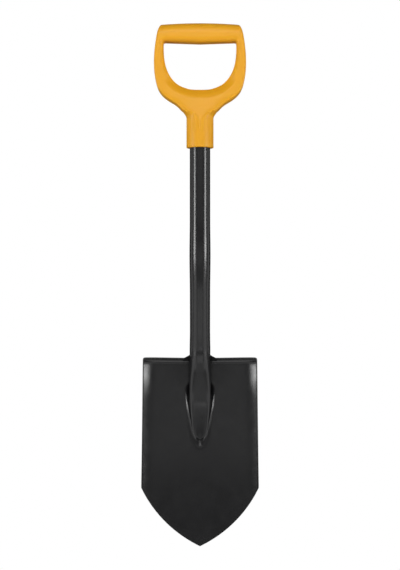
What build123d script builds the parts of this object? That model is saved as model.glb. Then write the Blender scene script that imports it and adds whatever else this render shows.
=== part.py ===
from build123d import *
import os
from math import asin, cos, degrees, radians, sin, tan

# A short garden spade: pressed steel blade, cranked steel tube and moulded D-handle.
#
# Frame: +Z runs up the shaft and Y is the depth, with the digging face towards -Y. The blade's point is at
# z = 0, the spade is symmetric about x = 0, and y = 0 halves its whole depth. Depths below are first measured
# from the axis of the upper shaft, and the finished pieces are moved together at the end.

# ---------------------------------------------------------------- driving dimensions, millimetres and degrees
LENGTH = 800.0
BEYOND = 300.0  # reach of cutting tools that only have to pass right through

# Shaft: one steel tube, cranked backwards above the blade and pressed to a tongue at its foot.
TUBE_RADIUS = 15.5
TUBE_WALL = 1.5
TUBE_TOP = 655.0
CRANK_ANGLE = 14.0
CRANK_START = 500.0
CRANK_TOP = 447.0
CRANK_FOOT = 302.0
CRANK_OFFSET = (CRANK_TOP - CRANK_FOOT) * tan(radians(CRANK_ANGLE))
CRANK_SWELL = 0.5
CRANK_FOOT_SWELL_REACH = 27.0
PRESS_START = 296.0
PRESS_FALL = 2.2
TONGUE_HALF_WIDTH = 16.8
TONGUE_HALF_DEPTH = 2.6
TONGUE_NARROWING = 8.0
TONGUE_NARROWING_POWER = 1.3
TONGUE_END_ROUND = 17.0
TONGUE_TAPER = 236.0
TONGUE_RUNOUT = 150.0
TONGUE_TIP = 163.0
TONGUE_CLEARANCE = 0.2
TUBE_STATIONS = 24
BORE_FOOT = 222.0

# Handle: one moulding with a grip bar, two bowed arms, a yoke and a round collar.
COLLAR_FOOT = 611.0
COLLAR_TOP = 656.0
COLLAR_RADIUS = 20.5
COLLAR_RIM_ROUND = 1.2
YOKE_TOP = 716.0
HANDLE_HALF_DEPTH = 15.0
HANDLE_ARM_POINTS = [
    (63.0, 790.0),
    (65.9, 778.0),
    (69.5, 741.4),
    (67.4, 714.1),
    (60.8, 695.8),
    (45.6, 682.2),
    (33.6, 674.2),
    (26.8, 667.4),
]
HANDLE_TOP_HALF_WIDTH = 55.5
HANDLE_HEADROOM = 4.0  # how far the front outline runs past the crowned top before it is trimmed
GRIP_CROWN_RADIUS = 740.0
GRIP_ROUND = 16.0
GRIP_SWING = 18.0
ARM_ROUND = 3.2
OPENING_HALF_WIDTH = 55.1
OPENING_TOP = 771.1
OPENING_SAG = 1.9
OPENING_SHOULDER = 768.0
OPENING_DROP = 69.2
OPENING_SQUARENESS = 2.62
OPENING_STEPS = 6
OPENING_CORNER = 2.8
OPENING_ROUND = 8.0

# Screw that holds the handle on the tube, sunk in the back of the collar.
SCREW_HEIGHT = 633.0
SCREW_RADIUS = 2.0
SCREW_HEAD_RADIUS = 4.0
SCREW_HEAD = 2.2
SCREW_SUNK = 0.6
SCREW_LENGTH = 10.0

# Blade: one pressed sheet, dished about an axis that leans back.
SHEET = 2.0
BLADE_HALF_WIDTH = 90.7
BLADE_TOP_HALF_WIDTH = 88.3
POINT_HEIGHT = 91.0
POINT_RADIUS = 186.6
TUBE_STANDOFF = 5.0  # from the tube's back to the face it leans on, before the tube is pressed
FACE_DEPTH = CRANK_OFFSET + TUBE_RADIUS + TUBE_STANDOFF
FACE_MIDDLE = 190.0
FACE_RADIUS = 1000.0
FACE_FOOT = -6.0
DISH_RADIUS = 250.0
DISH_LEAN = 8.0
DISH_ARC = 46.0

# Treads: the blade's top edge, folded forwards on both sides of the tube.
BEND_HEIGHT = 279.5
TREAD_TOP = 291.6
TREAD_INNER_TOP = 289.8
TREAD_ANGLE = 64.0
TREAD_BEND_RADIUS = 4.0
TREAD_LENGTH = 32.0
TREAD_GAP = 17.0
TREAD_CORNER = 3.0

# Recess: a teardrop pan with sloping walls, pressed backwards, which the tongue lies in.
RECESS_CENTRE = 238.0
RECESS_HALF_WIDTH = 23.3
RECESS_RISE = 19.0
RECESS_DROP = 88.0
RECESS_DEPTH = 4.4
RECESS_RIM = 1.0  # how far in front of the face's deepest line the half-width is measured
RECESS_DRAFT = 52.0
RECESS_EDGE = 2.0
RECESS_FLOOR_EDGE = 3.0

# Welds between the tube and the blade.
SHOULDER_TOP = 297.0
SHOULDER_REACH = 26.5
SHOULDER_DEPTH = 16.0
SHOULDER_BULGE = 60.0
SEAM_TOP = 232.0
SEAM_FOOT = 172.0
SEAM_RADIUS = 1.8
SEAM_STEPS = 3


# ---------------------------------------------------------------- blade
def sheet_skin(shift):
    """Side view of one skin of the sheet, from below the point up to the edge of the treads."""
    foot = degrees(asin((FACE_FOOT - FACE_MIDDLE) / FACE_RADIUS))
    head = degrees(asin((BEND_HEIGHT - FACE_MIDDLE) / FACE_RADIUS))
    middle = Vector(FACE_DEPTH - FACE_RADIUS, FACE_MIDDLE)
    face = CenterArc(middle, FACE_RADIUS + shift, foot, head - foot)
    inwards = Vector(cos(radians(head)), sin(radians(head)))
    bend_centre = middle + inwards * (FACE_RADIUS - TREAD_BEND_RADIUS)
    bend = CenterArc(bend_centre, TREAD_BEND_RADIUS + shift, head, TREAD_ANGLE - head)
    rise = Vector(-sin(radians(TREAD_ANGLE)), cos(radians(TREAD_ANGLE)))
    tread = Line(bend @ 1, (bend @ 1) + rise * TREAD_LENGTH)
    return [face, bend, tread]


def dished_sheet(front_shift, back_shift):
    """The space between two skins of the untrimmed sheet, swung about the dish axis."""
    front = sheet_skin(front_shift)
    back = sheet_skin(back_shift)
    foot = Line(front[0] @ 0, back[0] @ 0)
    edge = Line(front[2] @ 1, back[2] @ 1)
    profile = Plane.YZ * make_face(Curve() + [*front, edge, *back, foot])
    lean = radians(DISH_LEAN)
    axis = Axis((0, FACE_DEPTH - DISH_RADIUS, BEND_HEIGHT), (0, sin(lean), cos(lean)))
    return revolve(profile.rotate(axis, -DISH_ARC / 2), axis, DISH_ARC)


def blade_outline():
    """Front view of the blade: pointed end, slightly spread sides, treads beside a notch for the tube."""
    point = RadiusArc((0, 0), (BLADE_HALF_WIDTH, POINT_HEIGHT), -POINT_RADIUS)
    side = Line((BLADE_HALF_WIDTH, POINT_HEIGHT), (BLADE_TOP_HALF_WIDTH, TREAD_TOP))
    tread = Line(side @ 1, (TREAD_GAP, TREAD_INNER_TOP))
    notch = Polyline(tread @ 1, (TREAD_GAP, BEND_HEIGHT), (0, BEND_HEIGHT), (0, 0))
    half = make_face(Curve() + [point, side, tread, notch])
    corner = half.vertices().sort_by(Axis((0, 0, 0), (1, 3, 0)))[-1]
    half = fillet(corner, TREAD_CORNER)
    return half + mirror(half, Plane.YZ)


def teardrop(spread, depth):
    """Front view of the recess, grown by a spread, at one depth behind the shaft's axis."""
    centre = (0, RECESS_CENTRE)
    half_width = RECESS_HALF_WIDTH + spread
    head = EllipticalCenterArc(centre, half_width, RECESS_RISE + spread, 0, arc_size=180)
    foot = EllipticalCenterArc(centre, half_width, RECESS_DROP + spread, 180, arc_size=180)
    return Plane.XZ.offset(-depth) * make_face(Curve() + [head, foot])


def recess_pan(spread, extra):
    """The pressed pan as a solid from in front of the sheet back to its floor."""
    narrowing = tan(radians(RECESS_DRAFT))
    middle = FACE_DEPTH - RECESS_RIM
    start = middle - RECESS_DEPTH
    floor = FACE_DEPTH + RECESS_DEPTH + extra
    front = teardrop(spread + (middle - start) * narrowing, start)
    back = teardrop(spread - (floor - middle) * narrowing, floor)
    return loft([front, back])


def crosses_recess(nearest_low, nearest_high):
    """Test for an edge across the recess whose nearest point to the front lies between two depths."""
    def test(edge):
        nearest = edge.bounding_box().min.Y - FACE_DEPTH
        middle = edge.center()
        in_recess = TONGUE_RUNOUT < middle.Z < BEND_HEIGHT and abs(middle.X) < TREAD_GAP / 3
        return in_recess and nearest_low < nearest < nearest_high
    return test


def make_blade():
    lip = SHEET / cos(radians(RECESS_DRAFT))
    pan = recess_pan(lip, SHEET) & dished_sheet(0, RECESS_DEPTH * 4)
    sheet = dished_sheet(-SHEET / 2, SHEET / 2) + pan - recess_pan(0, 0)
    outline = extrude(Plane.XZ * blade_outline(), BEYOND, both=True)
    blade = sheet & outline
    floors = blade.edges().filter_by(crosses_recess(RECESS_DEPTH - 0.1, RECESS_DEPTH + SHEET + 0.1))
    blade = fillet(floors, RECESS_FLOOR_EDGE)
    rims = blade.edges().filter_by(crosses_recess(-3 * SHEET, -SHEET / 2))
    return fillet(rims, RECESS_EDGE)


# ---------------------------------------------------------------- shaft
def bump(distance, reach):
    """A smooth hump that is 1 in the middle and 0 beyond its reach."""
    return max(0, 1 - (distance / reach) ** 2) ** 2


def tube_size(height, shrink):
    """Half-width and half-depth of the tube at one height, less a shrink all round."""
    upper = bump(height - CRANK_TOP, CRANK_START - CRANK_TOP)
    lower = bump(height - CRANK_FOOT, CRANK_FOOT_SWELL_REACH)
    swell = CRANK_SWELL * (upper + lower)
    half_width = TUBE_RADIUS + swell
    half_depth = TUBE_RADIUS - swell
    if height < PRESS_START:
        pressed = min(1, (PRESS_START - height) / (PRESS_START - TONGUE_TIP))
        half_width += (TONGUE_HALF_WIDTH - TUBE_RADIUS) * min(1, 4 * pressed)
        half_depth = TONGUE_HALF_DEPTH + (half_depth - TONGUE_HALF_DEPTH) * (1 - pressed) ** PRESS_FALL
    if height < TONGUE_TAPER:
        taper = (TONGUE_TAPER - height) / (TONGUE_TAPER - TONGUE_RUNOUT)
        half_width -= TONGUE_NARROWING * taper**TONGUE_NARROWING_POWER
    return half_width - shrink, half_depth - shrink


def tube_axis():
    """Side view of the tube's axis: straight, cranked back, then down the recess past the tongue's tip."""
    floor = FACE_DEPTH + RECESS_DEPTH - TONGUE_HALF_DEPTH - TONGUE_CLEARANCE
    corners = [
        (0, CRANK_START),
        (0, CRANK_TOP),
        (CRANK_OFFSET, CRANK_FOOT),
        (CRANK_OFFSET + 1.0, PRESS_START - 16),
        (floor - 4.5, TONGUE_TAPER - 8),
        (floor, TONGUE_TIP + 10),
        (floor, TONGUE_RUNOUT),
    ]
    bend_radii = [380, 90, 60, 120, 60]
    return Plane.YZ * FilletPolyline(*corners, radius=bend_radii)


def tube_body(shrink, foot):
    """The tube's outside, or its bore when shrunk: a straight stretch, then a loft down to a foot."""
    axis = tube_axis()
    sections = []
    for index in range(TUBE_STATIONS + 1):
        place = axis.position_at(index / TUBE_STATIONS)
        if place.Z > foot:
            half_width, half_depth = tube_size(place.Z, shrink)
            across = Plane(place, x_dir=(1, 0, 0), z_dir=axis.tangent_at(index / TUBE_STATIONS))
            sections.append(across * Ellipse(half_width, half_depth))
    straight = extrude(Circle(TUBE_RADIUS - shrink), TUBE_TOP - CRANK_START)
    return loft(sections) + Pos(0, 0, CRANK_START) * straight


def tongue_trim():
    """Everything above the tongue's rounded end, as a deep front-view block."""
    end = TONGUE_TIP + TONGUE_END_ROUND
    half_width = tube_size(end, -TONGUE_CLEARANCE)[0]
    wide = 2 * TUBE_RADIUS + half_width
    tip = EllipticalCenterArc((0, end), half_width, TONGUE_END_ROUND, 180, arc_size=180)
    corners = [(wide, TONGUE_TAPER), (wide, LENGTH), (-wide, LENGTH), (-wide, TONGUE_TAPER)]
    rest = Polyline(tip @ 1, *corners, tip @ 0)
    return extrude(Plane.XZ * make_face(Curve() + [tip, rest]), BEYOND, both=True)


def make_tube_outside():
    return tube_body(0, 0) & tongue_trim()


def make_tube(outside):
    return outside - tube_body(TUBE_WALL, BORE_FOOT) - make_screw()


# ---------------------------------------------------------------- handle
def handle_outline():
    """Front view of the moulding without its opening, wider than the collar at its foot."""
    corner = (HANDLE_TOP_HALF_WIDTH, LENGTH + HANDLE_HEADROOM)
    foot_half_width = COLLAR_RADIUS + 1.1
    foot = (foot_half_width, COLLAR_TOP + 3.4)
    side = Spline(corner, *HANDLE_ARM_POINTS, foot, tangents=[(0.65, -1), (-0.5, -1)])
    below = COLLAR_FOOT - 10
    rest = Polyline(side @ 1, (foot_half_width, below), (0, below), (0, LENGTH + HANDLE_HEADROOM), corner)
    half = make_face(Curve() + [side, rest])
    return half + mirror(half, Plane.YZ)


def handle_barrel():
    """Side view of the moulding, rounded over the grip, swung about a far axis to crown the grip."""
    depth = HANDLE_HALF_DEPTH
    top = LENGTH - GRIP_ROUND
    wall = COLLAR_RADIUS + 1
    below = COLLAR_FOOT - 5
    foot = Polyline((0, below), (wall, below), (wall, COLLAR_TOP - 4))
    swell = Spline(foot @ 1, (depth, YOKE_TOP), tangents=[(-0.3, 1), (0, 1)])
    arm = Line((depth, YOKE_TOP), (depth, top))
    round_top = EllipticalCenterArc((0, top), depth, GRIP_ROUND, 0, arc_size=90)
    half = make_face(Curve() + [foot, swell, arm, round_top, Line((0, LENGTH), (0, below))])
    profile = Plane.YZ * (half + mirror(half, Plane.YZ))
    axis = Axis((0, 0, LENGTH - GRIP_CROWN_RADIUS), (0, 1, 0))
    return revolve(profile.rotate(axis, -GRIP_SWING / 2), axis, GRIP_SWING)


def handle_flare():
    """The round collar, opening out into the yoke."""
    foot = Polyline((0, COLLAR_FOOT), (COLLAR_RADIUS, COLLAR_FOOT), (COLLAR_RADIUS, COLLAR_TOP))
    outer = (90, 690)
    flare = Spline(foot @ 1, (28, 665), (48, 676), outer, tangents=[(0.15, 1), (1, 0.25)])
    above = LENGTH + 2 * HANDLE_HEADROOM
    rest = Polyline(outer, (outer[0], above), (0, above), (0, COLLAR_FOOT))
    return revolve(Plane.XZ * make_face(Curve() + [foot, flare, rest]), Axis.Z)


def opening_outline():
    """Front view of the finger gap: a flat sagging top over a squarish bowl."""
    points = []
    for index in range(OPENING_STEPS + 1):
        turn = radians(90 * index / OPENING_STEPS)
        across = OPENING_HALF_WIDTH * cos(turn) ** (2 / OPENING_SQUARENESS)
        down = OPENING_DROP * sin(turn) ** (2 / OPENING_SQUARENESS)
        points.append((across, OPENING_SHOULDER - down))
    bowl = Spline(*points, tangents=[(0, -1), (-1, 0)])
    wall = Line((OPENING_HALF_WIDTH, OPENING_TOP), points[0])
    middle = (0, OPENING_TOP - OPENING_SAG)
    roof = Line(middle, (OPENING_HALF_WIDTH, OPENING_TOP))
    half = make_face(Curve() + [roof, wall, bowl, Line(bowl @ 1, middle)])
    corner = half.vertices().sort_by(Axis((0, 0, 0), (1, 1, 0)))[-1]
    half = fillet(corner, OPENING_CORNER)
    return half + mirror(half, Plane.YZ)


def on_arms(edge):
    """Test for the edges along the outer sides of the arms and round the ends of the grip."""
    return edge.bounding_box().max.Z > YOKE_TOP - 20 and abs(edge.center().X) > 5


def round_opening(edge):
    """Test for the front and back edges of the finger gap."""
    box = edge.bounding_box()
    in_reach = max(box.max.X, -box.min.X) < OPENING_HALF_WIDTH + 1 and box.max.Z < OPENING_TOP + 1
    return in_reach and box.min.Z > YOKE_TOP - 20 and abs(edge.center().Y) > HANDLE_HALF_DEPTH - 1


def make_handle():
    solid = extrude(Plane.XZ * handle_outline(), BEYOND, both=True)
    solid = solid & handle_barrel() & handle_flare()
    solid = fillet(solid.edges().filter_by(on_arms), ARM_ROUND)
    solid -= extrude(Plane.XZ * opening_outline(), BEYOND, both=True)
    solid = fillet(solid.edges().filter_by(round_opening), OPENING_ROUND)
    rim = solid.edges().group_by(Axis.Z)[0]
    solid = fillet(rim, COLLAR_RIM_ROUND)
    bore = Pos(0, 0, COLLAR_FOOT - 1) * extrude(Circle(TUBE_RADIUS), TUBE_TOP - COLLAR_FOOT + 1)
    return solid - bore - make_screw()


def make_screw():
    """Self-tapping screw along +Y with a low domed head."""
    seat = COLLAR_RADIUS - SCREW_SUNK - SCREW_HEAD
    shank = Cylinder(SCREW_RADIUS, SCREW_LENGTH, align=(Align.CENTER, Align.CENTER, Align.MAX))
    head = Cylinder(SCREW_HEAD_RADIUS, SCREW_HEAD, align=(Align.CENTER, Align.CENTER, Align.MIN))
    head = fillet(head.edges().group_by(Axis.Z)[-1], SCREW_HEAD / 2)
    at_collar = Plane((0, seat, SCREW_HEIGHT), x_dir=(1, 0, 0), z_dir=(0, 1, 0))
    return at_collar * (shank + head)


# ---------------------------------------------------------------- welds
def make_shoulder_weld(side, tube_outside):
    """Triangular fillet weld on top of one tread, against the side of the tube."""
    inside_tube = TUBE_RADIUS - 2
    slope = RadiusArc((SHOULDER_REACH, TREAD_INNER_TOP), (inside_tube, SHOULDER_TOP), SHOULDER_BULGE)
    rest = Polyline(slope @ 1, (inside_tube, BEND_HEIGHT), (SHOULDER_REACH, BEND_HEIGHT), slope @ 0)
    profile = make_face(Curve() + [slope, rest])
    if side < 0:
        profile = mirror(profile, Plane.YZ)
    behind = CRANK_OFFSET + 2
    prism = extrude(Plane.XZ.offset(-behind) * profile, SHOULDER_DEPTH / 2, both=True)
    above_tread = dished_sheet(SHEET / 2, SHEET * 12)
    return (prism & above_tread) - tube_outside


def make_seam_weld(side, tube_outside, blade):
    """Bead in the corner between one edge of the tongue and the floor of the recess."""
    floor = FACE_DEPTH + RECESS_DEPTH
    route = []
    for index in range(SEAM_STEPS + 1):
        height = SEAM_TOP + (SEAM_FOOT - SEAM_TOP) * index / SEAM_STEPS
        across = tube_size(height, 0)[0] + SEAM_RADIUS / 3
        route.append((side * across, floor - SEAM_RADIUS, height))
    path = Spline(*route)
    start = Plane(path @ 0, z_dir=path % 0)
    bead = sweep(start * Circle(SEAM_RADIUS), path)
    weld = bead - tube_outside - blade
    return weld.solids().sort_by(SortBy.VOLUME)[-1]


def main():
    os.makedirs("parts", exist_ok=True)
    blade, tube_outside = make_blade(), make_tube_outside()
    pieces = {
        "blade": blade,
        "shaft_tube": make_tube(tube_outside),
        "d_handle": make_handle(),
        "handle_screw": make_screw(),
    }
    for name, side in (("left", -1), ("right", 1)):
        pieces["shoulder_weld_" + name] = make_shoulder_weld(side, tube_outside)
        pieces["seam_weld_" + name] = make_seam_weld(side, tube_outside, blade)
    back = max(piece.bounding_box().max.Y for piece in pieces.values())
    front = min(piece.bounding_box().min.Y for piece in pieces.values())
    for name, piece in pieces.items():
        export_step(Pos(0, -(front + back) / 2, 0) * piece, os.path.join("parts", name + ".step"))


if __name__ == "__main__":
    main()
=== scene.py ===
"""Dresses a garden spade: coated steel blade and cranked shaft, moulded D-handle, screw and welds."""

import math

import bpy
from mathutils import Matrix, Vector


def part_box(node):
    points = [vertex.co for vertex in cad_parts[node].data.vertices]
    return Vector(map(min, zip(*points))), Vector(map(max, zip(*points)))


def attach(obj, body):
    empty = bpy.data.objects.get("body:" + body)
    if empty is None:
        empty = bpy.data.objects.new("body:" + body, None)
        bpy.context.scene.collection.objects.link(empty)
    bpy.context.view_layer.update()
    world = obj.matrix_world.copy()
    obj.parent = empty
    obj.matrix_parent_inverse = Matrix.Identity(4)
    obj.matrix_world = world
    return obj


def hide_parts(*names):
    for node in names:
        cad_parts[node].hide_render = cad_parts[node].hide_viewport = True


bl_info = {
    "name": "Garden Spade",
    "version": (1, 0, 0),
    "blender": (4, 5, 0),
    "location": "View3D > Sidebar > Garden Spade",
    "description": "Builds a short garden spade with a D-handle and lights it in a plain studio",
    "category": "Add Mesh",
}

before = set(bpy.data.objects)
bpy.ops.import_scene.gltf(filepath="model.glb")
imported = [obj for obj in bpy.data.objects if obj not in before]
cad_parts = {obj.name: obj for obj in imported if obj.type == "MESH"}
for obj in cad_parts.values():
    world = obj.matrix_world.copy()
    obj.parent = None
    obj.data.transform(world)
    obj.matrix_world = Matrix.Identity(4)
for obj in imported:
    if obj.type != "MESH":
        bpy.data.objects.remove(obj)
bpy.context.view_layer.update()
MM = 0.001

# Places that the pieces share with their solids, in metres.
COLLAR_RADIUS = 20.5 * MM
COLLAR_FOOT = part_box("d_handle")[0].z
AXIS_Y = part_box("d_handle")[0].y + COLLAR_RADIUS
SHAFT_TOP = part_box("shaft_tube")[1].z
TONGUE_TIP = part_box("shaft_tube")[0].z
BLADE_HALF_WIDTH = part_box("blade")[1].x
SCREW_HEIGHT = (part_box("handle_screw")[0].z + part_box("handle_screw")[1].z) / 2

# Shaft: a round tube, cranked backwards and pressed to a tongue at its foot.
TUBE_RADIUS = 15.5 * MM
CRANK_START = 500 * MM
CRANK_TOP = 447 * MM
CRANK_REACH = 53 * MM
CRANK_FOOT = 302 * MM
CRANK_FOOT_REACH = 27 * MM
CRANK_SWELL = 0.5 * MM
PRESS_START = 296 * MM
PRESS_FALL = 2.2
TONGUE_HALF_WIDTH = 16.8 * MM
TONGUE_HALF_DEPTH = 2.6 * MM
TONGUE_WIDENING = 4
TONGUE_TAPER = 236 * MM
TONGUE_RUNOUT = 150 * MM
TONGUE_NARROWING = 8 * MM
TONGUE_NARROWING_POWER = 1.3
TONGUE_END_ROUND = 17 * MM
# Each bend's height, half the height it is eased over, and the depth gained per metre below it.
SHAFT_BENDS = (
    (CRANK_TOP, 46.7 * MM, 0.2493),
    (CRANK_FOOT, 9.0 * MM, 0.0455),
    (280 * MM, 8.0 * MM, 0.3192),
    (228 * MM, 13.7 * MM, 0.0818),
    (173 * MM, 2.5 * MM, 0.0),
)
# Rings of the shaft: heights on its straight top, then the gaps at the crank and over the pressed foot.
STRAIGHT_RINGS = (650 * MM, 575 * MM)
CRANK_RING_GAP = 8 * MM
FOOT_RINGS_TOP = 320 * MM
FOOT_RING_GAP = 4 * MM
TIP_RING_RISES = (14 * MM, 10.5 * MM, 7.5 * MM, 5 * MM, 3 * MM, 1.5 * MM, 0.6 * MM, 0.1 * MM)

# Blade: a pressed sheet, dished about an axis that leans back, with folded treads.
FACE_DEPTH = 56.65 * MM
FACE_MIDDLE = 190 * MM
FACE_RADIUS = 1.0
FACE_EASING = 3.0 * MM
DISH_RADIUS = 250 * MM
DISH_LEAN = math.radians(8)
TOP_HALF_WIDTH = 88.3 * MM
POINT_HEIGHT = 91 * MM
POINT_RADIUS = 186.6 * MM
BEND_HEIGHT = 279.5 * MM
BEND_RADIUS = 11 * MM
TREAD_ANGLE = math.radians(80)
TREAD_TOP = 291.5 * MM
TREAD_INNER_TOP = 289.8 * MM
TREAD_GAP = 15.9 * MM
TREAD_CORNER = 4 * MM
TREAD_REACH = 40 * MM
# Past the curl's start the sheet curls forwards with the square of the way. It does so in full above the
# curl's rise, and by a share of that below the curl's foot.
CURL = 7.0
CURL_START = 70 * MM
CURL_FOOT = 222 * MM
CURL_RISE = 42 * MM
CURL_BELOW = 0.3

# Recess: a teardrop pan in the blade.
RECESS_CENTRE = 238 * MM
RECESS_HALF_WIDTH = 23.3 * MM
RECESS_RISE = 19 * MM
RECESS_DROP = 88 * MM
RECESS_DEPTH = 5.4 * MM
RECESS_SLOPE = 0.57
RECESS_EDGE = 0.9 * MM
RECESS_FLOOR_EDGE = 2.6 * MM
# Its walls lie flatter from a share of its drop downwards, in full after another share.
RECESS_FLATTENING = 0.3
FLATTENING_START = 0.15
FLATTENING_SPAN = 0.35

# Grid of the blade. Columns go outwards: first in half-widths of the recess, then in shares of the rest.
INNER_COLUMNS = (0, 0.13, 0.26, 0.38, 0.48, 0.56, 0.62, 0.67, 0.72, 0.77, 0.82, 0.87, 0.91, 0.94, 0.97, 1,
                 1.03, 1.06, 1.10, 1.16, 1.25)
OUTER_COLUMNS = (0.05, 0.12, 0.20, 0.28, 0.36, 0.44, 0.52, 0.60, 0.68, 0.75, 0.81, 0.86, 0.90, 0.935,
                 0.965, 0.985, 1)
# Below the recess the inner columns keep a guide's half-width, or a share of the blade's where it is narrow.
GUIDE_HALF_WIDTH = 8 * MM
GUIDE_SHARE = 0.35
ROW_GAP = 3.2 * MM
RECESS_ROW_GAP = 1.4 * MM
RECESS_ROWS_FOOT = -138 * MM
RECESS_ROWS_TOP = -14 * MM
TREAD_SHARES = (0.07, 0.14, 0.21, 0.28, 0.35, 0.42, 0.49, 0.56, 0.65, 0.75, 0.85, 0.93, 1.0)

# Finger gap of the handle: its rolled lower rim, deepest under the middle.
OPENING_HALF_WIDTH = 55.1 * MM
OPENING_SHOULDER = 768 * MM
OPENING_DROP = 69.2 * MM
OPENING_SQUARENESS = 2.62
RIM_SLOPE = 1.15
RIM_EASING = 24.0
RIM_TOP = 745 * MM
RIM_FULL = 705 * MM
RIM_FADE = 14 * MM
FREE_HALF_DEPTH = 30 * MM

# Blend of the handle's yoke into its collar.
HANDLE_TOP = 799.95 * MM
HANDLE_VOXEL = 0.85 * MM
BLEND_FOOT = 638 * MM
BLEND_FOOT_RISE = 14 * MM
BLEND_TOP = 694 * MM
BLEND_TOP_FALL = 22 * MM
BLEND_PASSES = 260
COLLAR_TRUE_TOP = 640 * MM
COLLAR_CLEARANCE = 0.02 * MM

# Hollows of the handle, and the screw's way through the collar, as distances behind the tube's axis.
BORE_PLUG_RADIUS = 16.6 * MM
SCREW_HEAD_RADIUS = 4.0 * MM
SCREW_SHANK_RADIUS = 2.0 * MM
SCREW_CLEARANCE = 0.05 * MM
SCREW_SEAT = 17.7 * MM
SCREW_PLUG_START = 14 * MM
SCREW_PLUG_END = 19.95 * MM


# ---------------------------------------------------------------- properties
class SpadeSizes(bpy.types.PropertyGroup):
    """Sizes that can change without moving any neighbour."""
    sheet: bpy.props.FloatProperty(
        name="Sheet", description="Thickness of the blade's steel", unit="LENGTH",
        default=2 * MM, min=1 * MM, max=3 * MM, precision=4)
    sheet_edge: bpy.props.FloatProperty(
        name="Sheet edge", description="Width of the rounding along the blade's edges", unit="LENGTH",
        default=0.5 * MM, min=0.1 * MM, max=0.9 * MM, precision=4)
    rim_half_depth: bpy.props.FloatProperty(
        name="Rim half-depth", description="Half-depth of the handle where it meets the finger gap",
        unit="LENGTH", default=4.5 * MM, min=2 * MM, max=15 * MM, precision=4)


class SpadeFinish(bpy.types.PropertyGroup):
    """Colours and gloss of the coated steel, the moulding and the screw."""
    coating: bpy.props.FloatVectorProperty(
        name="Coating", description="Colour of the powder coat", subtype="COLOR", size=3,
        default=(0.010, 0.010, 0.0105), min=0, max=1)
    coating_roughness: bpy.props.FloatProperty(
        name="Coating roughness", description="Mean roughness of the powder coat", subtype="FACTOR",
        default=0.22, min=0, max=1)
    plastic: bpy.props.FloatVectorProperty(
        name="Plastic", description="Colour of the moulded handle", subtype="COLOR", size=3,
        default=(0.80, 0.37, 0.012), min=0, max=1)
    plastic_roughness: bpy.props.FloatProperty(
        name="Plastic roughness", description="Mean roughness of the moulding", subtype="FACTOR",
        default=0.42, min=0, max=1)
    steel: bpy.props.FloatVectorProperty(
        name="Steel", description="Colour of the plated screw", subtype="COLOR", size=3,
        default=(0.55, 0.55, 0.56), min=0, max=1)


class SpadeStage(bpy.types.PropertyGroup):
    """Camera of the stage."""
    camera_distance: bpy.props.FloatProperty(
        name="Camera distance", description="From the shaft to the camera", unit="LENGTH",
        default=2.0, min=0.5)
    camera_height: bpy.props.FloatProperty(
        name="Camera height", description="Height of the camera above the blade's point", unit="LENGTH",
        default=0.4035)
    focal_length: bpy.props.FloatProperty(
        name="Focal length", description="Lens of the camera, in millimetres", unit="CAMERA",
        default=83.33, min=10)


# ---------------------------------------------------------------- materials
def new_material(name):
    material = bpy.data.materials.new(name)
    material.use_nodes = True
    tree = material.node_tree
    shader = tree.nodes["Principled BSDF"]
    place = tree.nodes.new("ShaderNodeTexCoord").outputs["Object"]
    return material, tree, shader, place


def noise(tree, place, scale, detail=2.0, roughness=0.5):
    node = tree.nodes.new("ShaderNodeTexNoise")
    node.inputs["Scale"].default_value = scale
    node.inputs["Detail"].default_value = detail
    node.inputs["Roughness"].default_value = roughness
    tree.links.new(place, node.inputs["Vector"])
    return node.outputs["Fac"]


def spread(tree, value, low, high):
    """A value stretched from its middle range onto a low and a high."""
    node = tree.nodes.new("ShaderNodeMapRange")
    node.inputs["From Min"].default_value = 0.3
    node.inputs["From Max"].default_value = 0.7
    node.inputs["To Min"].default_value = low
    node.inputs["To Max"].default_value = high
    tree.links.new(value, node.inputs["Value"])
    return node.outputs["Result"]


def blend_colours(tree, amount, first, second):
    node = tree.nodes.new("ShaderNodeMix")
    node.data_type = "RGBA"
    node.inputs["A"].default_value = (*first, 1)
    node.inputs["B"].default_value = (*second, 1)
    tree.links.new(amount, node.inputs["Factor"])
    return node.outputs["Result"]


def bump(tree, height, strength, distance, normal=None):
    node = tree.nodes.new("ShaderNodeBump")
    node.inputs["Strength"].default_value = strength
    node.inputs["Distance"].default_value = distance
    tree.links.new(height, node.inputs["Height"])
    if normal is not None:
        tree.links.new(normal, node.inputs["Normal"])
    return node.outputs["Normal"]


def coating_material():
    finish = bpy.context.scene.spade_finish
    material, tree, shader, place = new_material("powder_coat")
    colour = Vector(finish.coating)
    patches = noise(tree, place, 14, 3)
    tree.links.new(blend_colours(tree, patches, colour * 0.88, colour * 1.12), shader.inputs["Base Color"])
    middle = finish.coating_roughness
    tree.links.new(spread(tree, noise(tree, place, 60, 4), middle - 0.03, middle + 0.03),
                   shader.inputs["Roughness"])
    peel = bump(tree, noise(tree, place, 700, 1), 0.10, 0.0002)
    grain = bump(tree, noise(tree, place, 2600, 1), 0.06, 0.0001, peel)
    tree.links.new(grain, shader.inputs["Normal"])
    shader.inputs["IOR"].default_value = 1.5
    return material


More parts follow.
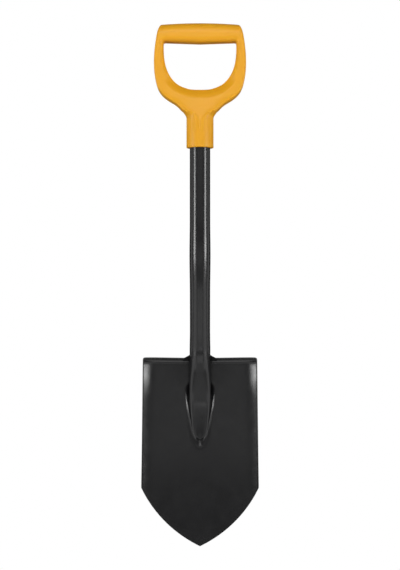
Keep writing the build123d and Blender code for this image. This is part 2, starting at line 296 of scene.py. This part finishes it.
def plastic_material():
    finish = bpy.context.scene.spade_finish
    material, tree, shader, place = new_material("moulded_plastic")
    colour = Vector(finish.plastic)
    flow = noise(tree, place, 22, 3)
    tree.links.new(blend_colours(tree, flow, colour * 0.97, colour * 1.03), shader.inputs["Base Color"])
    middle = finish.plastic_roughness
    tree.links.new(spread(tree, noise(tree, place, 90, 4), middle - 0.04, middle + 0.04),
                   shader.inputs["Roughness"])
    grain = bump(tree, noise(tree, place, 2400, 2), 0.12, 0.0001)
    tree.links.new(grain, shader.inputs["Normal"])
    shader.inputs["IOR"].default_value = 1.46
    shader.inputs["Specular IOR Level"].default_value = 0.35
    shader.inputs["Subsurface Weight"].default_value = 0.08
    shader.inputs["Subsurface Radius"].default_value = (1.0, 0.35, 0.08)
    shader.inputs["Subsurface Scale"].default_value = 0.002
    return material


def steel_material():
    finish = bpy.context.scene.spade_finish
    material, tree, shader, place = new_material("zinc_plate")
    colour = Vector(finish.steel)
    stains = noise(tree, place, 400, 3)
    tree.links.new(blend_colours(tree, stains, colour * 0.8, colour * 1.1), shader.inputs["Base Color"])
    tree.links.new(spread(tree, noise(tree, place, 1500, 2), 0.28, 0.42), shader.inputs["Roughness"])
    shader.inputs["Metallic"].default_value = 1
    return material


def dress_node(name, material):
    """Gives a carried-over solid its finish."""
    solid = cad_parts[name]
    for slot in solid.material_slots:
        slot.material = material
    if not solid.material_slots:
        solid.data.materials.append(material)


# ---------------------------------------------------------------- curves
def ramp(share):
    """A smooth rise from 0 to 1."""
    share = min(1.0, max(0.0, share))
    return share * share * (3 - 2 * share)


def blend_up(value, floor, softness):
    """The larger of a value and a floor, eased where they meet."""
    return (value + floor + math.hypot(value - floor, softness)) / 2


def hump(distance, reach):
    """A smooth rise to 1 at no distance, which is gone at the reach."""
    return max(0.0, 1 - (distance / reach) ** 2) ** 2


# ---------------------------------------------------------------- mesh helpers
def select_only(piece):
    bpy.ops.object.select_all(action="DESELECT")
    piece.select_set(True)
    bpy.context.view_layer.objects.active = piece


def start_piece(name):
    """Names the primitive just added and opens it for editing with everything selected."""
    piece = bpy.context.object
    piece.name = name
    piece.data.name = name
    bpy.ops.object.mode_set(mode="EDIT")
    bpy.ops.mesh.select_all(action="SELECT")
    return piece


def close_piece(piece, angle):
    """Merges doubles, turns the faces outwards and smooths all but the sharp edges."""
    bpy.ops.mesh.select_all(action="SELECT")
    bpy.ops.mesh.remove_doubles(threshold=0.00001)
    bpy.ops.mesh.normals_make_consistent(inside=False)
    bpy.ops.object.mode_set(mode="OBJECT")
    select_only(piece)
    bpy.ops.object.transform_apply(location=True, rotation=True, scale=True)
    bpy.ops.object.shade_smooth_by_angle(angle=math.radians(angle))


def apply_modifier(piece, kind, **settings):
    """Gives a piece a modifier with its settings, and applies it."""
    modifier = piece.modifiers.new(kind.title(), kind)
    for key, value in settings.items():
        setattr(modifier, key, value)
    bpy.context.view_layer.objects.active = piece
    bpy.ops.object.modifier_apply(modifier=modifier.name)


def finish_piece(piece, material, slot, *nodes):
    """Gives a piece its finish and its place on the body, and stands it in for its solids."""
    piece.data.materials.clear()
    piece.data.materials.append(material)
    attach(piece, "root")
    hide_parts(*nodes)


# ---------------------------------------------------------------- shaft
def bend_rise(distance, half_span):
    """Depth gained below a bend of unit slope that is eased over a half-span above and below it."""
    if abs(distance) < half_span:
        return (distance + half_span) ** 2 / (4 * half_span)
    return max(distance, 0)


def shaft_depth(height):
    """Depth of the shaft's axis behind its upper stretch."""
    slope, depth = 0.0, 0.0
    for bend_height, half_span, slope_below in SHAFT_BENDS:
        depth += (slope_below - slope) * bend_rise(bend_height - height, half_span)
        slope = slope_below
    return depth


def shaft_slope(height):
    """Depth gained per metre down the shaft's axis."""
    step = 0.5 * MM
    return (shaft_depth(height - step) - shaft_depth(height + step)) / (2 * step)


def shaft_section(height):
    """Half-width and half-depth of a level cut through the shaft."""
    at_top = hump(height - CRANK_TOP, CRANK_REACH)
    at_foot = hump(height - CRANK_FOOT, CRANK_FOOT_REACH)
    swell = CRANK_SWELL * (at_top + at_foot)
    half_width, half_depth = TUBE_RADIUS + swell, TUBE_RADIUS - swell
    if height < PRESS_START:
        pressed = min(1.0, (PRESS_START - height) / (PRESS_START - TONGUE_TIP))
        half_width += (TONGUE_HALF_WIDTH - TUBE_RADIUS) * min(1.0, TONGUE_WIDENING * pressed)
        half_depth = TONGUE_HALF_DEPTH + (half_depth - TONGUE_HALF_DEPTH) * (1 - pressed) ** PRESS_FALL
    if height < TONGUE_TAPER:
        taper = (TONGUE_TAPER - height) / (TONGUE_TAPER - TONGUE_RUNOUT)
        half_width -= TONGUE_NARROWING * taper**TONGUE_NARROWING_POWER
    from_tip = (height - TONGUE_TIP) / TONGUE_END_ROUND
    if from_tip < 1:
        half_width *= math.sqrt(max(0.0, 1 - (1 - from_tip) ** 2))
    return half_width, half_depth * math.hypot(1, shaft_slope(height))


def shaft_heights():
    """Heights of the rings below the top one: far apart where the tube is straight, close at the bends."""
    heights = list(STRAIGHT_RINGS)
    heights += [CRANK_START - step * CRANK_RING_GAP for step in range(-1, 22)]
    heights += [FOOT_RINGS_TOP - step * FOOT_RING_GAP for step in range(1, 35)]
    heights += [TONGUE_TIP + rise for rise in TIP_RING_RISES]
    return heights


class SPADE_OT_shaft(bpy.types.Operator):
    """Draw the shaft downwards ring by ring, from under the handle to the tongue's tip"""
    bl_idname = "spade.shaft"
    bl_label = "Shaft"

    def execute(self, context):
        bpy.ops.object.select_all(action="DESELECT")
        bpy.ops.mesh.primitive_circle_add(vertices=64, radius=TUBE_RADIUS, location=(0, AXIS_Y, SHAFT_TOP))
        shaft = start_piece("shaft")
        bpy.ops.mesh.edge_face_add()
        bpy.ops.mesh.inset(thickness=0.5 * MM)
        bpy.ops.mesh.select_all(action="DESELECT")
        bpy.ops.mesh.select_mode(type="EDGE")
        bpy.ops.mesh.select_non_manifold()
        height, width, depth = SHAFT_TOP, TUBE_RADIUS, TUBE_RADIUS
        for lower in shaft_heights():
            next_width, next_depth = shaft_section(lower)
            shift = shaft_depth(lower) - shaft_depth(height)
            bpy.ops.mesh.extrude_region_move(TRANSFORM_OT_translate={"value": (0, shift, lower - height)})
            middle = (0, AXIS_Y + shaft_depth(lower), lower)
            bpy.ops.transform.resize(value=(next_width / width, next_depth / depth, 1),
                                     center_override=middle)
            height, width, depth = lower, next_width, next_depth
        bpy.ops.mesh.edge_face_add()
        close_piece(shaft, 35)
        finish_piece(shaft, coating_material(), "black_coating", "shaft_tube")
        return {"FINISHED"}


# ---------------------------------------------------------------- blade
def fold_profile(run):
    """Side view of the sheet: depth and height at a run along it, 0 where the treads' bend begins."""
    head = math.asin((BEND_HEIGHT - FACE_MIDDLE) / FACE_RADIUS)
    turn = head + min(run, 0) / FACE_RADIUS
    depth = FACE_DEPTH - FACE_RADIUS + FACE_RADIUS * math.cos(turn)
    height = FACE_MIDDLE + FACE_RADIUS * math.sin(turn)
    if run > 0:
        folded = min(head + run / BEND_RADIUS, TREAD_ANGLE)
        depth += BEND_RADIUS * (math.cos(folded) - math.cos(head))
        height += BEND_RADIUS * (math.sin(folded) - math.sin(head))
        straight = max(0.0, run - BEND_RADIUS * (TREAD_ANGLE - head))
        depth -= straight * math.sin(TREAD_ANGLE)
        height += straight * math.cos(TREAD_ANGLE)
    return depth, height


def dished(across, run):
    """Depth and height of the dished sheet at a distance across and a run along it."""
    depth, height = fold_profile(run)
    back, up = depth - (FACE_DEPTH - DISH_RADIUS), height - BEND_HEIGHT
    along = back * math.sin(DISH_LEAN) + up * math.cos(DISH_LEAN)
    out = back * math.cos(DISH_LEAN) - up * math.sin(DISH_LEAN)
    swung = math.sqrt(max(0.0, out**2 - across**2))
    depth = FACE_DEPTH - DISH_RADIUS + along * math.sin(DISH_LEAN) + swung * math.cos(DISH_LEAN)
    height = BEND_HEIGHT + along * math.cos(DISH_LEAN) - swung * math.sin(DISH_LEAN)
    return depth, height


def blade_half_width(height):
    """Half-width of the blade's outline at a height."""
    if height >= POINT_HEIGHT:
        rise = (height - POINT_HEIGHT) / (TREAD_TOP - POINT_HEIGHT)
        return BLADE_HALF_WIDTH + (TOP_HALF_WIDTH - BLADE_HALF_WIDTH) * rise
    chord = Vector((BLADE_HALF_WIDTH, POINT_HEIGHT))
    inwards = Vector((-chord.y, chord.x)).normalized()
    centre = chord / 2 + inwards * math.sqrt(POINT_RADIUS**2 - chord.length_squared / 4)
    return centre.x + math.sqrt(max(0.0, POINT_RADIUS**2 - (height - centre.y) ** 2))


def tread_top(across):
    """Height of the treads' edge, rounded off at the outer corner."""
    slope = (TREAD_TOP - TREAD_INNER_TOP) / (TOP_HALF_WIDTH - TREAD_GAP)
    height = TREAD_INNER_TOP + (across - TREAD_GAP) * slope
    past = across - (TOP_HALF_WIDTH - TREAD_CORNER)
    if past > 0:
        height -= TREAD_CORNER - math.sqrt(max(0.0, TREAD_CORNER**2 - past**2))
    return height


def recess_half_width(height):
    """Half-width that the blade's inner columns follow: the teardrop, run on above and below it."""
    above = height > RECESS_CENTRE
    span = RECESS_RISE if above else RECESS_DROP
    inside = max(0.0, 1 - ((height - RECESS_CENTRE) / span) ** 2)
    teardrop = RECESS_HALF_WIDTH * math.sqrt(inside)
    if above:
        return blend_up(teardrop, TREAD_GAP, 1 * MM)
    return min(blend_up(teardrop, GUIDE_HALF_WIDTH, 3 * MM), GUIDE_SHARE * blade_half_width(height))


def recess_drop(across, height):
    """How far the recess is pressed back at a place on the blade."""
    span = RECESS_RISE if height > RECESS_CENTRE else RECESS_DROP
    x, z = across / RECESS_HALF_WIDTH, (height - RECESS_CENTRE) / span
    reach = math.hypot(x, z)
    slope = math.hypot(x / RECESS_HALF_WIDTH, z / span)
    inward = (1 - reach) * reach / slope if slope > 0 else RECESS_HALF_WIDTH
    below = (RECESS_CENTRE - height) / RECESS_DROP
    flattened = RECESS_FLATTENING * ramp((below - FLATTENING_START) / FLATTENING_SPAN)
    wall = inward * RECESS_SLOPE * (1 - flattened)
    return blend_up(wall, 0, RECESS_EDGE) - blend_up(wall - RECESS_DEPTH, 0, RECESS_FLOOR_EDGE)


def corner_curl(across, height):
    """How far the sheet curls forwards towards its side edges, most of all under the treads."""
    past = max(0.0, across - CURL_START)
    strength = CURL_BELOW + (1 - CURL_BELOW) * ramp((height - CURL_FOOT) / CURL_RISE)
    return CURL * past**2 * strength


def face_easing(height):
    """How far the face is set back above its middle, where it runs straighter up to the treads."""
    share = (min(height, BEND_HEIGHT) - FACE_MIDDLE) / (BEND_HEIGHT - FACE_MIDDLE)
    return FACE_EASING * max(0.0, share) ** 2


def column_place(column, height):
    """Distance across of one column at a height."""
    half_width = blade_half_width(height)
    guide = recess_half_width(height)
    if column < len(INNER_COLUMNS):
        return min(INNER_COLUMNS[column] * guide, half_width)
    start = min(INNER_COLUMNS[-1] * guide, half_width)
    return start + OUTER_COLUMNS[column - len(INNER_COLUMNS)] * (half_width - start)


def blade_runs():
    """Runs of the blade's rows below the treads' bend, closer together across the recess."""
    foot = math.asin(-FACE_MIDDLE / FACE_RADIUS)
    head = math.asin((BEND_HEIGHT - FACE_MIDDLE) / FACE_RADIUS)
    runs = []
    run = FACE_RADIUS * (foot - head)
    while run < -0.4 * MM:
        runs.append(run)
        in_recess = RECESS_ROWS_FOOT < run < RECESS_ROWS_TOP
        run += RECESS_ROW_GAP if in_recess else ROW_GAP
    return runs + [0.0]


def face_vertex(column, run):
    """A place on the face, in a column and at a run below the bend."""
    height = fold_profile(run)[1]
    across = depth = 0.0
    for _ in range(3):
        across = column_place(column, height)
        depth, height = dished(across, run)
    depth += recess_drop(across, height) + face_easing(height) - corner_curl(across, height)
    return across, depth, height


def tread_vertex(column, share):
    """A place on a tread, at a share of the way from the bend to the edge."""
    across = column_place(column, TREAD_TOP)
    low, high = 0.0, TREAD_REACH
    for _ in range(24):
        middle = (low + high) / 2
        if dished(across, middle)[1] < tread_top(across):
            low = middle
        else:
            high = middle
    depth, height = dished(across, share * low)
    return across, depth + face_easing(height) - corner_curl(across, height), height


def boundary_vertices(piece):
    """Indices of the vertices along the open edge of a sheet."""
    uses = {}
    for face in piece.data.polygons:
        for key in face.edge_keys:
            uses[key] = uses.get(key, 0) + 1
    return {index for key, count in uses.items() if count == 1 for index in key}


def square_rim(piece, rim, count):
    """Sets the two skins' edges one behind the other, so that the sheet is cut off square to its front."""
    vertices = piece.data.vertices
    for index in rim:
        near, far = vertices[index], vertices[index + count]
        across, height = (near.co.x + far.co.x) / 2, (near.co.z + far.co.z) / 2
        near.co.x = far.co.x = across
        near.co.z = far.co.z = height


class SPADE_OT_blade(bpy.types.Operator):
    """Press a flat grid into the dished blade with its recess, and fold its treads"""
    bl_idname = "spade.blade"
    bl_label = "Blade"

    def execute(self, context):
        sizes = context.scene.spade_sizes
        side_columns = len(INNER_COLUMNS) + len(OUTER_COLUMNS) - 1
        runs = blade_runs()
        across_count = 2 * side_columns
        up_count = len(runs) + len(TREAD_SHARES) - 1
        bpy.ops.object.select_all(action="DESELECT")
        bpy.ops.mesh.primitive_grid_add(x_subdivisions=across_count, y_subdivisions=up_count, size=1)
        blade = context.object
        for vertex in blade.data.vertices:
            column = round((vertex.co.x + 0.5) * across_count) - side_columns
            row = round((vertex.co.y + 0.5) * up_count)
            if row < len(runs):
                place = face_vertex(abs(column), runs[row])
            else:
                place = tread_vertex(abs(column), TREAD_SHARES[row - len(runs)])
            side = -1 if column < 0 else 1
            vertex.co = (side * place[0], AXIS_Y + place[1], place[2])
        start_piece("blade_sheet")
        bpy.ops.mesh.select_all(action="DESELECT")
        bpy.ops.object.mode_set(mode="OBJECT")
        for face in blade.data.polygons:
            face.select = abs(face.center.x) < TREAD_GAP and face.center.z > BEND_HEIGHT - 1 * MM
        bpy.ops.object.mode_set(mode="EDIT")
        bpy.ops.mesh.delete(type="FACE")
        close_piece(blade, 35)
        rim = boundary_vertices(blade)
        count = len(blade.data.vertices)
        apply_modifier(blade, "SOLIDIFY", thickness=sizes.sheet, offset=0, use_even_offset=True)
        square_rim(blade, rim, count)
        apply_modifier(blade, "BEVEL", width=sizes.sheet_edge, segments=2, limit_method="ANGLE",
                       angle_limit=math.radians(50))
        bpy.ops.object.shade_smooth_by_angle(angle=math.radians(40))
        finish_piece(blade, coating_material(), "black_coating", "blade")
        return {"FINISHED"}


# ---------------------------------------------------------------- welds
class SPADE_OT_welds(bpy.types.Operator):
    """Finish the welds"""
    bl_idname = "spade.welds"
    bl_label = "Welds"

    def execute(self, context):
        coat = coating_material()
        for name in ("shoulder_weld_left", "shoulder_weld_right", "seam_weld_left", "seam_weld_right"):
            dress_node(name, coat)
        return {"FINISHED"}


# ---------------------------------------------------------------- handle and screw
def rim_limit(across, height, rim_half_depth):
    """Largest half-depth of the handle at a place in its front view, by its distance from the gap."""
    x = across / OPENING_HALF_WIDTH
    z = max(0.0, OPENING_SHOULDER - height) / OPENING_DROP
    power = OPENING_SQUARENESS
    size = max(0.2, (x**power + z**power) ** (1 / power))
    slope = math.hypot(x ** (power - 1) / OPENING_HALF_WIDTH, z ** (power - 1) / OPENING_DROP)
    reach = max(0.0, (size - 1) * size ** (power - 1) / slope)
    rise = rim_half_depth + RIM_SLOPE * reach - RIM_EASING * reach**2
    if reach > RIM_SLOPE / (2 * RIM_EASING):
        rise = FREE_HALF_DEPTH
    return rise + RIM_FADE * (1 - ramp((RIM_TOP - height) / (RIM_TOP - RIM_FULL)))


def add_cylinder(radius, low, high):
    """An upright cylinder on the tube's axis, between two heights above the collar's foot."""
    bpy.ops.mesh.primitive_cylinder_add(vertices=96, radius=radius, depth=high - low,
                                        location=(0, AXIS_Y, COLLAR_FOOT + (low + high) / 2))
    return bpy.context.object


def add_cross_cylinder(radius, near, far):
    """A cylinder on the screw's axis, between two distances behind the tube's axis."""
    bpy.ops.mesh.primitive_cylinder_add(vertices=48, radius=radius, depth=far - near,
                                        location=(0, AXIS_Y + (near + far) / 2, SCREW_HEIGHT),
                                        rotation=(math.radians(90), 0, 0))
    return bpy.context.object


def copy_solid(name, node):
    """A new piece with the merged mesh of a solid."""
    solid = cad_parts[node]
    piece = bpy.data.objects.new(name, solid.data.copy())
    piece.data.transform(solid.matrix_world)
    bpy.context.scene.collection.objects.link(piece)
    select_only(piece)
    bpy.ops.object.mode_set(mode="EDIT")
    close_piece(piece, 40)
    return piece


def fill_hollows(handle):
    """Fills the bore and the screw's seat, and makes the moulding one even mesh."""
    plugs = (
        add_cylinder(BORE_PLUG_RADIUS, 0.3 * MM, SHAFT_TOP - COLLAR_FOOT + 1 * MM),
        add_cross_cylinder(SCREW_HEAD_RADIUS + 0.4 * MM, SCREW_PLUG_START, SCREW_PLUG_END),
    )
    for plug in plugs:
        plug.select_set(True)
    handle.select_set(True)
    bpy.context.view_layer.objects.active = handle
    bpy.ops.object.join()
    handle.data.remesh_voxel_size = HANDLE_VOXEL
    bpy.ops.object.voxel_remesh()


def roll_rim(place, rim_half_depth):
    """Moves a place on the handle to the rolled rim where it stands out past it."""
    place.z = min(place.z, HANDLE_TOP)
    depth = abs(place.y - AXIS_Y)
    limit = rim_limit(abs(place.x), place.z, rim_half_depth)
    if depth > limit - 2 * MM:
        place.y = AXIS_Y + math.copysign(-blend_up(-depth, -limit, 0.5 * MM), place.y - AXIS_Y)


def true_collar(place):
    """Moves a place near the collar's outside onto its round."""
    span = math.hypot(place.x, place.y - AXIS_Y)
    if place.z < COLLAR_TRUE_TOP and span > COLLAR_RADIUS - 0.5 * MM:
        place.x *= (COLLAR_RADIUS - COLLAR_CLEARANCE) / span
        place.y = AXIS_Y + (place.y - AXIS_Y) * (COLLAR_RADIUS - COLLAR_CLEARANCE) / span


def blend_weight(height):
    """How freely the yoke is smoothed at a height: not at all low on the collar or beside the gap."""
    return min(ramp((height - BLEND_FOOT) / BLEND_FOOT_RISE), ramp((BLEND_TOP - height) / BLEND_TOP_FALL))


def cut_hollows(handle):
    """Cuts the bore, the open seat of the screw's head and the hole for its shank."""
    cutters = (
        add_cylinder(TUBE_RADIUS, -5 * MM, SHAFT_TOP - COLLAR_FOOT),
        add_cross_cylinder(SCREW_HEAD_RADIUS + SCREW_CLEARANCE, SCREW_SEAT, 25 * MM),
        add_cross_cylinder(SCREW_SHANK_RADIUS + SCREW_CLEARANCE, 12 * MM, 20 * MM),
    )
    for cutter in cutters:
        apply_modifier(handle, "BOOLEAN", object=cutter, operation="DIFFERENCE", solver="EXACT")
        bpy.data.objects.remove(cutter)


class SPADE_OT_handle(bpy.types.Operator):
    """Roll the rim of the moulded handle's finger gap and blend its yoke into its collar"""
    bl_idname = "spade.handle"
    bl_label = "Handle"

    def execute(self, context):
        rim_half_depth = context.scene.spade_sizes.rim_half_depth
        handle = copy_solid("handle_moulding", "d_handle")
        fill_hollows(handle)
        group = handle.vertex_groups.new(name="blend")
        for vertex in handle.data.vertices:
            roll_rim(vertex.co, rim_half_depth)
            group.add([vertex.index], blend_weight(vertex.co.z), "REPLACE")
            true_collar(vertex.co)
        apply_modifier(handle, "SMOOTH", factor=0.5, iterations=BLEND_PASSES, use_x=False, use_z=False,
                       vertex_group="blend")
        handle.vertex_groups.clear()
        cut_hollows(handle)
        select_only(handle)
        bpy.ops.object.mode_set(mode="EDIT")
        close_piece(handle, 40)
        finish_piece(handle, plastic_material(), "orange_plastic", "d_handle")
        return {"FINISHED"}


class SPADE_OT_screw(bpy.types.Operator):
    """Finish the screw at the back of the collar"""
    bl_idname = "spade.screw"
    bl_label = "Screw"

    def execute(self, context):
        dress_node("handle_screw", steel_material())
        return {"FINISHED"}


# ---------------------------------------------------------------- stage
def softbox(name, azimuth, elevation, distance, width, height, brightness, aim):
    """A lamp seen from a point of the spade, at an azimuth from the camera's side and an elevation."""
    turn, rise = math.radians(azimuth), math.radians(elevation)
    direction = Vector((math.sin(turn) * math.cos(rise), -math.cos(turn) * math.cos(rise), math.sin(rise)))
    data = bpy.data.lights.new(name, "AREA")
    data.shape = "RECTANGLE"
    data.size, data.size_y = width, height
    data.energy = brightness * math.pi * width * height
    lamp = bpy.data.objects.new(name, data)
    bpy.context.scene.collection.objects.link(lamp)
    lamp.location = Vector(aim) + direction * distance
    lamp.rotation_euler = (-direction).to_track_quat("-Z", "Y").to_euler()
    lamp.visible_camera = False


def softbox_pair(name, azimuth, *settings):
    """Two like lamps, on the left and on the right."""
    softbox(name + "_left", -azimuth, *settings)
    softbox(name + "_right", azimuth, *settings)


def shine_for_camera_only(thing, name, brightness):
    """A plain glowing white that neither lights the spade nor shows in its coat."""
    material, _, shader, _ = new_material(name)
    shader.inputs["Base Color"].default_value = (0, 0, 0, 1)
    shader.inputs["Specular IOR Level"].default_value = 0
    shader.inputs["Emission Color"].default_value = (1, 1, 1, 1)
    shader.inputs["Emission Strength"].default_value = brightness
    thing.data.materials.append(material)
    thing.visible_diffuse = False
    thing.visible_glossy = False
    thing.visible_transmission = False
    thing.visible_shadow = False


class SPADE_OT_stage(bpy.types.Operator):
    """Add the pale floor, the backdrop, the softboxes and the camera"""
    bl_idname = "spade.stage"
    bl_label = "Stage"

    def execute(self, context):
        stage = context.scene.spade_stage
        bpy.ops.object.select_all(action="DESELECT")
        bpy.ops.mesh.primitive_circle_add(vertices=96, radius=9, fill_type="NGON", location=(0, 0, -0.6))
        context.object.name = "floor"
        shine_for_camera_only(context.object, "pale_floor", 1.0)
        bpy.ops.mesh.primitive_uv_sphere_add(segments=48, ring_count=24, radius=8.9)
        context.object.name = "backdrop"
        shine_for_camera_only(context.object, "pale_backdrop", 1.0)

        world = bpy.data.worlds.new("studio")
        context.scene.world = world
        world.use_nodes = True
        world.node_tree.nodes["Background"].inputs["Color"].default_value = (0.08, 0.08, 0.08, 1)

        softbox("softbox_left", -62, 1.5, 6.0, 1.65, 2.10, 10.5, (0, 0, 0.35))
        softbox("softbox_right", 62, 1.5, 6.0, 1.75, 2.10, 10.0, (0, 0, 0.35))
        softbox("softbox_key", 0, 30, 1.6, 1.3, 0.55, 5.4, (0, 0, 0.70))
        softbox_pair("low", 55, -7, 8.0, 2.3, 0.72, 10.0, (0, 0, 0.26))
        softbox_pair("rim", 102, 0, 2.4, 0.75, 1.6, 1.0, (0, 0, 0.45))
        softbox("fill_high", 0, 14, 2.4, 2.9, 0.75, 0.4, (0, 0, 0.35))
        softbox("fill_low", 0, -10, 2.4, 3.0, 0.32, 0.62, (0, 0, 0.35))
        softbox("floor_near", 0, -30, 2.4, 2.6, 0.34, 1.25, (0, 0, 0.35))
        softbox_pair("floor", 63, -29, 2.4, 1.9, 1.25, 0.9, (0, 0, 0.35))
        softbox("floor_middle", 0, -48, 2.4, 3.0, 0.9, 0.5, (0, 0, 0.35))
        softbox("fill_behind", 180, 25, 3.0, 2.4, 1.6, 1.0, (0, 0, 0.4))
        softbox("floor_under", 0, -90, 1.0, 0.8, 0.8, 1.3, (0, 0, 0.4))

        camera_data = bpy.data.cameras.new("camera")
        camera_data.lens = stage.focal_length
        camera = bpy.data.objects.new("camera", camera_data)
        context.scene.collection.objects.link(camera)
        camera.location = (0, AXIS_Y - stage.camera_distance, stage.camera_height)
        camera.rotation_euler = (math.radians(90), 0, 0)
        context.scene.camera = camera
        context.scene.view_settings.view_transform = "Standard"
        return {"FINISHED"}


class SPADE_PT_panel(bpy.types.Panel):
    """Sizes, finishes and steps of the spade."""
    bl_idname = "SPADE_PT_panel"
    bl_label = "Garden Spade"
    bl_space_type = "VIEW_3D"
    bl_region_type = "UI"
    bl_category = "Garden Spade"

    def draw(self, context):
        for group_name, kind in GROUPS.items():
            box = self.layout.box()
            for name in kind.__annotations__:
                box.prop(getattr(context.scene, group_name), name)
        for step in STEPS:
            self.layout.operator(step.bl_idname)


STEPS = (SPADE_OT_shaft, SPADE_OT_blade, SPADE_OT_welds, SPADE_OT_handle, SPADE_OT_screw, SPADE_OT_stage)
GROUPS = {"spade_sizes": SpadeSizes, "spade_finish": SpadeFinish, "spade_stage": SpadeStage}


def register():
    for group in GROUPS.values():
        bpy.utils.register_class(group)
    for name, group in GROUPS.items():
        setattr(bpy.types.Scene, name, bpy.props.PointerProperty(type=group))
    for kind in (*STEPS, SPADE_PT_panel):
        bpy.utils.register_class(kind)


def unregister():
    for kind in (SPADE_PT_panel, *reversed(STEPS)):
        bpy.utils.unregister_class(kind)
    for name in GROUPS:
        delattr(bpy.types.Scene, name)
    for group in GROUPS.values():
        bpy.utils.unregister_class(group)


def main():
    register()
    bpy.ops.spade.shaft()
    bpy.ops.spade.blade()
    bpy.ops.spade.welds()
    bpy.ops.spade.handle()
    bpy.ops.spade.screw()
    bpy.ops.spade.stage()


if __name__ == "__main__":
    main()
